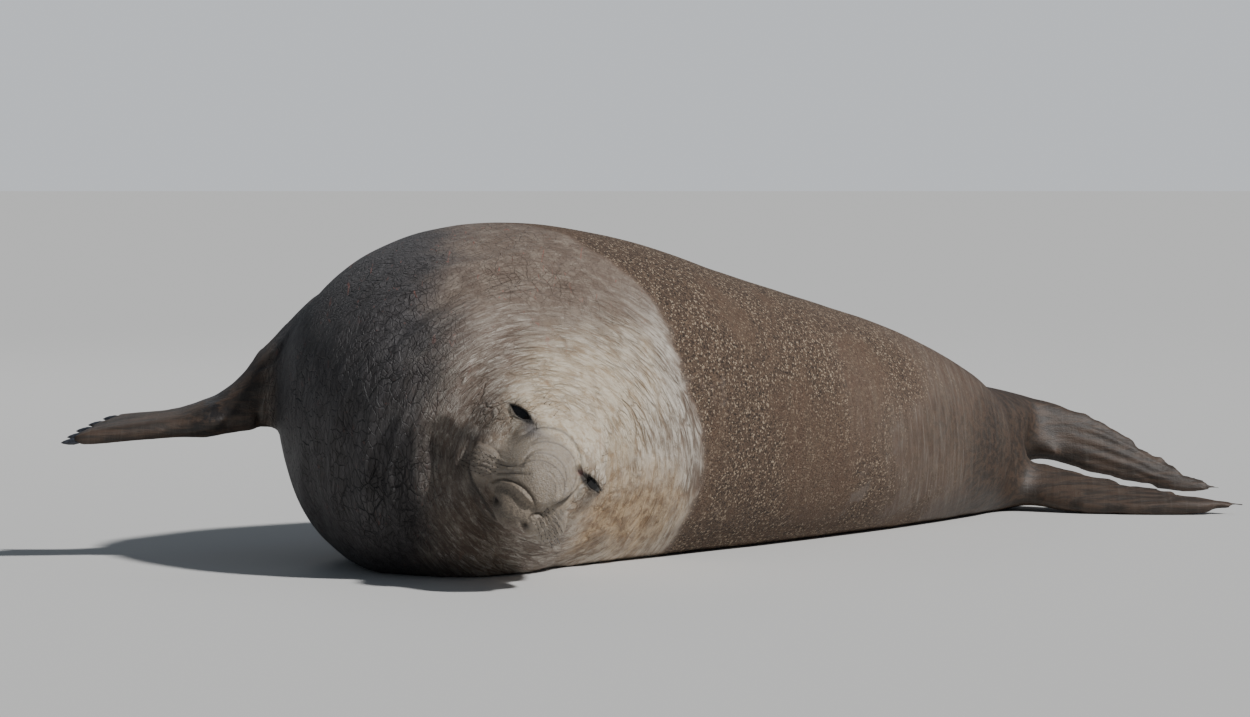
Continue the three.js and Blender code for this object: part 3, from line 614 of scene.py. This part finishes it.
# Grit: loose grains of several colours with bigger ones scattered among them, and their height
def buildGrit():
    group = bpy.data.node_groups.new("grit", "ShaderNodeTree")
    group.interface.new_socket("Place", in_out="INPUT", socket_type="NodeSocketVector")
    for name, value in (("Grain", 210.0), ("Coarse", 150.0)):
        socket = group.interface.new_socket(name, in_out="INPUT", socket_type="NodeSocketFloat")
        socket.default_value = value
    group.interface.new_socket("Colour", in_out="OUTPUT", socket_type="NodeSocketColor")
    group.interface.new_socket("Height", in_out="OUTPUT", socket_type="NodeSocketFloat")
    start, end = group.nodes.new("NodeGroupInput"), group.nodes.new("NodeGroupOutput")

    def layer(scale, stops):
        cells = addNode(group, "TexVoronoi", Vector=start.outputs[0], Scale=scale)
        tone = addNode(group, "SeparateColor", i0=cells.outputs["Color"])
        ramp = addNode(group, "ValToRGB", {"hide": True}, i0=tone.outputs[0])
        marks = ramp.color_ramp.elements
        marks[0].color, marks[1].color = stops[0][1], stops[-1][1]
        for position, stop in stops[1:-1]:
            marks.new(position).color = stop
        rounded = maths(group, "SUBTRACT", 1.0, cells.outputs["Distance"])
        return ramp.outputs[0], maths(group, "MULTIPLY", rounded, tone.outputs[1]), tone.outputs[2]

    small, smallHeight, _ = layer(start.outputs[1], [
        (0, grit["dark"]), (0.28, grit["brown"]), (0.56, grit["tan"]), (0.90, grit["tan"]),
        (1, grit["pale"])])
    big, bigHeight, pick = layer(start.outputs[2], [
        (0, grit["dark"]), (0.52, grit["dark"]), (0.58, grit["pale"]), (1, grit["pale"])])
    drift = noiseOf(group, start.outputs[0], 40.0, 5.0, 0.75)
    damp = maths(group, "MULTIPLY", between(group, drift, 0.40, 0.66), 0.7)
    shaded = mixColour(group, damp, small, grit["brown"])
    scattered = between(group, pick, 0.80, 0.83)
    shown = mixColour(group, maths(group, "MULTIPLY", scattered, 0.85), shaded, big)
    group.links.new(shown, end.inputs[0])
    raised = maths(group, "MULTIPLY", bigHeight, scattered)
    group.links.new(maths(group, "ADD", smallHeight, raised), end.inputs[1])
    return group


grit = {
    "dark": srgb(46, 37, 31),
    "brown": srgb(76, 60, 48),
    "tan": srgb(102, 83, 67),
    "pale": srgb(168, 150, 128),
    "grain": 230.0,
    "coarse": 190.0,        # scattered bigger grains
    "bump": 1.0,
}
hide = {
    "brown": srgb(104, 87, 74),
    "grey": srgb(148, 138, 126),
    "worn": srgb(136, 122, 108),
    "pale": srgb(208, 200, 188),
    "cream": srgb(226, 212, 186),
    "tan": srgb(182, 154, 118),
    "ochre": srgb(128, 98, 62),
    "nose": srgb(140, 126, 108),
    "noseTip": srgb(104, 93, 82),
    # crease: the painted shade colour of the face, also used for the fine lines on the nose tip
    "crease": srgb(40, 33, 29),
    # shield colours: the chest's dark hide, darkened further as painted shade
    "shieldAndShade": srgb(66, 64, 66),
    "shieldAndShadeDark": srgb(36, 34, 37),
    "crack": srgb(18, 16, 18),
    "scar": srgb(140, 84, 70),
    "flipper": srgb(66, 50, 38),
    "flipperDark": srgb(32, 25, 20),
    "bare": srgb(108, 100, 94),
    "red": srgb(94, 72, 57),
    "pink": srgb(150, 98, 92),
    "patch": srgb(70, 74, 84),
}


def skinMaterial(gritGroup):
    material = bpy.data.materials.new("sealHide")
    material.use_nodes = True
    tree = material.node_tree
    shader = tree.nodes["Principled BSDF"]
    place = addNode(tree, "TexCoord").outputs["Object"]

    def painted(name):
        source = addNode(tree, "Attribute", {"attribute_name": name})
        parts = addNode(tree, "SeparateColor", i0=source.outputs["Color"]).outputs
        return parts[0], parts[1], parts[2], source.outputs["Alpha"]

    def share(mask, amount):
        return maths(tree, "MULTIPLY", mask, amount)

    def outside(mask):
        return maths(tree, "SUBTRACT", 1.0, mask)

    def edges(vector, scale, width):
        cell = addNode(tree, "TexVoronoi", {"feature": "DISTANCE_TO_EDGE"}, Vector=vector, Scale=scale)
        return outside(between(tree, cell.outputs["Distance"], 0.0, width))

    sandZone, creamZone, flipperZone, shieldAndShadeZone = painted("zones")
    ochreZone, paleAndPaintedLightZone, scarZone, wetZone = painted("hideTonesAndLight")
    noseMark, tipMark, paintedShadeMark, rimMark = painted("faceMarksAndShade")
    pinkMark, patchMark = painted("eyeMarks")[:2]
    flow = addNode(tree, "Attribute", {"attribute_name": "flow"}).outputs["Vector"]

    # grey hide streaked in rings round the head, with painted light: paler on the sunny side of the neck
    streak = noiseOf(tree, flow, 1.0, 6.0, 0.74, (80, 13, 13), 0.6)
    fine = noiseOf(tree, flow, 1.0, 4.0, 0.75, (130, 18, 18), 0.9)
    ringed = addNode(tree, "Mapping", i0=flow, i3=(58, 10, 10)).outputs[0]
    jitter = addNode(tree, "TexNoise", Vector=ringed, Scale=0.9, Detail=3.0).outputs["Color"]
    ringed = addNode(tree, "Mix", {"data_type": "VECTOR", "factor_mode": "UNIFORM"},
                     i0=0.5, i4=ringed, i5=jitter).outputs[1]
    folds = maths(tree, "MAXIMUM", edges(ringed, 1.0, 0.09), share(edges(ringed, 2.3, 0.12), 0.6))
    folds = share(folds, between(tree, noiseOf(tree, place, 8.0, 3.0), 0.36, 0.62))
    cloud = noiseOf(tree, place, 3.4, 4.0, 0.65)
    mottle = noiseOf(tree, place, 24.0, 5.0, 0.74)
    colour = mixColour(tree, between(tree, streak, 0.40, 0.60), hide["brown"], hide["grey"])
    light = mixColour(tree, between(tree, streak, 0.36, 0.58), hide["grey"], hide["pale"])
    colour = mixColour(tree, share(paleAndPaintedLightZone, 0.85), colour, light)
    colour = mixColour(tree, share(between(tree, fine, 0.54, 0.64), 0.6), colour, hide["pale"])
    colour = mixColour(tree, share(between(tree, fine, 0.47, 0.38), 0.65), colour, hide["brown"])
    colour = mixColour(tree, share(between(tree, cloud, 0.48, 0.66), 0.4), colour, hide["brown"])
    colour = mixColour(tree, share(folds, 0.9), colour, hide["brown"])
    # cream round the eyes, stained ochre on the cheek
    warm = mixColour(tree, between(tree, streak, 0.28, 0.62), hide["tan"], hide["cream"])
    warm = mixColour(tree, share(between(tree, fine, 0.50, 0.66), 0.5), warm, hide["pale"])
    warm = mixColour(tree, share(between(tree, mottle, 0.52, 0.70), 0.3), warm, hide["tan"])
    warm = mixColour(tree, share(folds, 0.45), warm, hide["ochre"])
    colour = mixColour(tree, share(creamZone, 0.6), colour, warm)
    stain = mixColour(tree, between(tree, mottle, 0.42, 0.6), hide["ochre"], hide["tan"])
    colour = mixColour(tree, share(ochreZone, 0.8), colour, stain)
    # upper neck: brown, finely wrinkled and scarred
    worn = mixColour(tree, between(tree, mottle, 0.42, 0.70), hide["brown"], hide["worn"])
    colour = mixColour(tree, share(scarZone, 0.88), colour, worn)

    # the thick shield of the chest: dark, finely wrinkled, split by a few cracks, and kept darker than the
    # hide's own colour as painted shade for the side away from the key light
    bend = addNode(tree, "TexNoise", Vector=place, Scale=7.0, Detail=5.0).outputs["Color"]
    bent = addNode(tree, "Mix", {"data_type": "VECTOR", "factor_mode": "UNIFORM"},
                   i0=0.06, i4=place, i5=bend).outputs[1]
    tall = addNode(tree, "Mapping", i0=bent, i3=(1.0, 1.0, 0.45)).outputs[0]
    patchy = between(tree, noiseOf(tree, place, 5.0, 4.0), 0.44, 0.60)
    wrinkle = noiseOf(tree, tall, 1.0, 4.0, 0.68, (60, 60, 26), 0.6)
    wide = share(edges(tall, 27.0, 0.05), patchy)
    cracks = maths(tree, "MAXIMUM", wide, share(edges(tall, 60.0, 0.08), 0.5))
    cracked = share(cracks, maths(tree, "MAXIMUM", shieldAndShadeZone, share(scarZone, 0.35)))
    thick = mixColour(tree, between(tree, wrinkle, 0.38, 0.64), hide["shieldAndShadeDark"], hide["shieldAndShade"])
    colour = mixColour(tree, share(shieldAndShadeZone, 0.92), colour, thick)
    colour = mixColour(tree, share(cracked, 0.75), colour, hide["crack"])
    # old bites and scratches
    scratch = between(tree, noiseOf(tree, place, 1.0, 3.0, 0.5, (60, 10, 22), 1.4), 0.665, 0.70)
    scratch = share(scratch, maths(tree, "ADD", share(scarZone, 0.7), 0.3))
    colour = mixColour(tree, share(scratch, 0.6), colour, hide["scar"])

    # nose and its tip, painted shade in its folds, grooves and under it, and the rims of the eyes
    speckle = noiseOf(tree, place, 130.0, 5.0, 0.75)
    pores = addNode(tree, "TexVoronoi", Vector=place, Scale=210.0).outputs["Distance"]
    noseTone = mixColour(tree, between(tree, speckle, 0.38, 0.62), hide["nose"], hide["grey"])
    noseTone = mixColour(tree, share(between(tree, mottle, 0.5, 0.64), 0.35), noseTone, hide["noseTip"])
    colour = mixColour(tree, share(noseMark, 0.92), colour, noseTone)
    tipTone = mixColour(tree, between(tree, speckle, 0.36, 0.6), hide["noseTip"], hide["nose"])
    tipTone = mixColour(tree, share(edges(bent, 120.0, 0.06), 0.3), tipTone, hide["crease"])
    colour = mixColour(tree, share(tipMark, 0.8), colour, tipTone)
    colour = mixColour(tree, share(patchMark, 0.7), colour, hide["patch"])
    # painted shade: the face's dark mask, in the crease colour
    colour = mixColour(tree, share(paintedShadeMark, 0.85), colour, hide["crease"])
    colour = mixColour(tree, share(rimMark, 0.9), colour, hide["crack"])
    colour = mixColour(tree, share(pinkMark, 0.5), colour, hide["pink"])

    # flippers: smooth dark fur, streaked along
    along = noiseOf(tree, place, 1.0, 4.0, 0.65, (6, 44, 44), 0.5)
    limb = mixColour(tree, between(tree, along, 0.40, 0.62), hide["flipperDark"], hide["flipper"])
    scab = share(wetZone, between(tree, noiseOf(tree, place, 19.0, 4.0, 0.7), 0.46, 0.56))
    colour = mixColour(tree, share(flipperZone, 0.94), colour, limb)
    colour = mixColour(tree, share(scab, 0.85), colour, hide["crack"])

    # dry sand over the back, thin or fallen away in places
    grains = addNode(tree, "Group", {"node_tree": gritGroup}, Place=place, Grain=grit["grain"],
                     Coarse=grit["coarse"])
    slid = noiseOf(tree, place, 1.0, 5.0, 0.68, (30, 30, 5), 0.8)
    edge = share(maths(tree, "SUBTRACT", slid, 0.5), 1.1)
    cover = share(between(tree, maths(tree, "ADD", sandZone, edge), 0.35, 0.6), sandZone)
    gap = share(between(tree, noiseOf(tree, place, 3.1, 5.0, 0.68), 0.62, 0.70), 0.6)
    smooth = between(tree, noiseOf(tree, place, 1.0, 4.0, 0.6, (3.4, 3.4, 1.2)), 0.54, 0.64)
    cover = share(cover, outside(gap))
    dusty = mixColour(tree, between(tree, slid, 0.42, 0.6), hide["red"], grit["tan"])
    dusty = mixColour(tree, gap, dusty, hide["bare"])
    sandy = mixColour(tree, share(smooth, 0.55), grains.outputs["Colour"], dusty)
    colour = mixColour(tree, sandZone, colour, dusty)
    colour = mixColour(tree, cover, colour, sandy)
    tree.links.new(colour, shader.inputs["Base Color"])

    rough = mixColour(tree, cover, (0.58, 0.58, 0.58, 1), (0.95, 0.95, 0.95, 1))
    damp = maths(tree, "MAXIMUM", noseMark, share(scab, 0.8))
    rough = mixColour(tree, damp, rough, (0.46, 0.46, 0.46, 1))
    tree.links.new(rough, shader.inputs["Roughness"])

    # relief in millimetres
    bareSkin = outside(maths(tree, "MAXIMUM", sandZone, flipperZone))
    streaked = share(maths(tree, "ADD", share(streak, 2.6), share(fine, 2.6)), bareSkin)
    reliefs = [
        share(noiseOf(tree, place, 240.0, 3.0, 0.6), 0.8),
        share(streaked, outside(share(noseMark, 0.85))),
        share(share(share(folds, bareSkin), outside(maths(tree, "MAXIMUM", noseMark, shieldAndShadeZone))), -2.6),
        share(share(wrinkle, shieldAndShadeZone), 6.0),
        share(cracked, -4.5),
        share(share(mottle, scarZone), 3.0),
        share(share(grains.outputs["Height"], cover), grit["bump"] * 3.0),
        share(share(speckle, noseMark), 1.6),
        share(share(pores, noseMark), 0.8),
        share(share(along, flipperZone), 2.0),
    ]
    height = reliefs[0]
    for relief in reliefs[1:]:
        height = maths(tree, "ADD", height, relief)
    bump = addNode(tree, "Bump", Strength=1.0, Distance=0.0015, Height=height)
    tree.links.new(bump.outputs[0], shader.inputs["Normal"])
    return material


def plainHorn(name, colour, roughness, streakScale):
    material = bpy.data.materials.new(name)
    material.use_nodes = True
    tree = material.node_tree
    shader = tree.nodes["Principled BSDF"]
    place = addNode(tree, "TexCoord").outputs["Object"]
    streaks = noiseOf(tree, place, streakScale, 4.0)
    lighter = tuple(2.2 * c for c in colour[:3]) + (1,)
    tone = mixColour(tree, between(tree, streaks, 0.35, 0.7), colour, lighter)
    tree.links.new(tone, shader.inputs["Base Color"])
    shader.inputs["Roughness"].default_value = roughness
    bump = addNode(tree, "Bump", Strength=0.4, Distance=0.0006, Height=streaks)
    tree.links.new(bump.outputs[0], shader.inputs["Normal"])
    return material


print("materials")
sealSkin.data.materials.clear()
sealSkin.data.materials.append(skinMaterial(buildGrit()))
claw = plainHorn("clawHorn", srgb(38, 40, 46), 0.35, 120.0)
eyeMaterial = plainHorn("wetEye", srgb(6, 4, 4), 0.16, 40.0)
for name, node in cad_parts.items():
    if "claw" in name:
        node.data.materials[0] = claw
    elif "eye" in name:
        node.data.materials[0] = eyeMaterial


# The whiskers
whiskers = {
    "rows": 6, "columns": 8, "pitch": (13.5, 15.5),     # millimetres along and across a pad
    "padCentre": ((-118, -178), (142, -172)),
    "follicle": 0.0024, "thick": 0.0008, "length": (0.016, 0.046),
    "browPlaces": ((-125, 77), (-112, 66), (-100, 74), (-69, 62), (110, 78), (124, 66)),
}


def skinUnder(a, b):
    start = Vector(np.array(brow) + np.array((a, b, 900)) @ faceAxes / 1000)
    hit = skinTree.ray_cast(start, -faceOut, 1.4)
    return (hit[0], hit[1]) if hit[0] is not None else (None, None)


# One hair: a small dark follicle and a tapering bent stalk, drawn out segment by segment
def addWhisker(shape, root, out, droop, length):
    ball = bmesh.ops.create_icosphere(shape, subdivisions=1, radius=whiskers["follicle"])["verts"]
    bmesh.ops.translate(shape, verts=ball, vec=root)
    turn = out.to_track_quat("Z", "Y").to_matrix()
    ring = bmesh.ops.create_circle(shape, segments=5, radius=whiskers["thick"], cap_ends=True)["verts"]
    bmesh.ops.rotate(shape, verts=ring, matrix=turn, cent=(0, 0, 0))
    bmesh.ops.translate(shape, verts=ring, vec=root)
    face = [f for f in shape.faces if set(f.verts) == set(ring)][0]
    heading = out.copy()
    for segment in range(5):
        grown = bmesh.ops.extrude_discrete_faces(shape, faces=[face])["faces"][0]
        face = grown
        heading = (heading + droop * 0.16).normalized()
        bmesh.ops.translate(shape, verts=face.verts, vec=heading * length / 5)
        centre = face.calc_center_median()
        bmesh.ops.scale(shape, verts=face.verts, vec=(0.72,) * 3, space=Matrix.Translation(-centre))


def growWhiskers():
    shape = bmesh.new()
    along, across = whiskers["pitch"]
    for side, (ca, cb) in zip((-1, 1), whiskers["padCentre"]):
        for row in range(whiskers["rows"]):
            for column in range(whiskers["columns"]):
                i, j = column - (whiskers["columns"] - 1) / 2, row - (whiskers["rows"] - 1) / 2
                if math.hypot(i / 4.4, j / 3.4) > 1:
                    continue
                a = ca + side * (i * along * 0.9 + 3 * (row % 2)) + random.uniform(-2, 2)
                b = cb + j * across * 0.8 - 0.35 * i * along + random.uniform(-2, 2)
                root, out = skinUnder(a, b)
                if root is None:
                    continue
                droop = faceSide * side * 0.8 - faceUp * 0.9
                length = random.uniform(*whiskers["length"]) * (0.6 + 0.4 * (i + 4) / 8)
                spread = (out + 0.4 * side * faceSide).normalized()
                addWhisker(shape, root - out * 0.001, spread, droop, length)
    for a, b in whiskers["browPlaces"]:
        root, out = skinUnder(a, b)
        if root is not None:
            addWhisker(shape, root - out * 0.001, out, faceUp, random.uniform(0.02, 0.04))
    grown = bpy.data.meshes.new("whiskers")
    shape.to_mesh(grown)
    shape.free()
    piece = newObject("whiskers", grown)
    piece.data.materials.append(plainHorn("whiskerHorn", srgb(40, 33, 28), 0.45, 60.0))
    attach(piece, "root")


print("whiskers")
skinTree = BVHTree.FromObject(sealSkin, bpy.context.evaluated_depsgraph_get())
growWhiskers()


# The studio
def buildStudio():
    floor = bmesh.new()
    bmesh.ops.create_grid(floor, x_segments=1, y_segments=1, size=40)
    floorMesh = bpy.data.meshes.new("floor")
    floor.to_mesh(floorMesh)
    floor.free()
    floorObject = newObject("floor", floorMesh)
    pale = bpy.data.materials.new("paleFloor")
    pale.use_nodes = True
    pale.node_tree.nodes["Principled BSDF"].inputs["Base Color"].default_value = (0.62, 0.61, 0.59, 1)
    pale.node_tree.nodes["Principled BSDF"].inputs["Roughness"].default_value = 0.9
    floorMesh.materials.append(pale)

    lens = bpy.data.cameras.new("camera")
    lens.sensor_width = camera["sensor"]
    lens.lens = camera["focal"]
    lens.clip_end = 200
    cameraObject = newObject("camera", lens)
    tilt = math.radians(camera["downTilt"])
    cameraObject.location = cameraPlace
    cameraObject.rotation_euler = (math.pi / 2 - tilt, 0, 0)
    bpy.context.scene.camera = cameraObject

    key = bpy.data.lights.new("key", "SUN")
    key.energy = studioLights["key"]["strength"]
    key.angle = math.radians(studioLights["key"]["softness"])
    keyObject = newObject("key", key)
    keyObject.rotation_euler = (-Vector(studioLights["key"]["from"])).to_track_quat("-Z", "Y").to_euler()
    for name, place, aim, size, power in studioLights["lamps"]:
        lamp = bpy.data.lights.new(name, "AREA")
        lamp.shape = "DISK"
        lamp.size = size
        lamp.energy = power
        made = newObject(name, lamp)
        made.location = place
        made.rotation_euler = (Vector(aim) - Vector(place)).to_track_quat("-Z", "Y").to_euler()
    world = bpy.data.worlds.new("studio")
    world.use_nodes = True
    tree = world.node_tree
    sky = tree.nodes["Background"]
    sky.inputs["Color"].default_value = (*studioLights["sky"], 1)
    sky.inputs["Strength"].default_value = studioLights["skyPower"]
    backdrop = addNode(tree, "Background", Color=(*studioLights["backdrop"], 1),
                       Strength=studioLights["backdropPower"])
    seen = addNode(tree, "LightPath").outputs["Is Camera Ray"]
    both = addNode(tree, "MixShader", i0=seen)
    tree.links.new(sky.outputs[0], both.inputs[1])
    tree.links.new(backdrop.outputs[0], both.inputs[2])
    tree.links.new(both.outputs[0], tree.nodes["World Output"].inputs["Surface"])
    bpy.context.scene.world = world


studioLights = {
    "key": {"from": (7.4, -4.6, 8.8), "strength": 4.0, "softness": 4.0},   # softness in degrees
    "lamps": [
        ("fill", (-6.0, -9.0, 4.0), (-0.4, -0.6, 0.4), 5.0, 12),
        ("rim", (-3.0, 8.0, 6.0), (0.3, 0.3, 0.6), 4.0, 60),
    ],
    "sky": (0.70, 0.83, 1.0),
    "skyPower": 0.15,
    "backdrop": (0.72, 0.75, 0.79),
    "backdropPower": 0.9,
}
buildStudio()
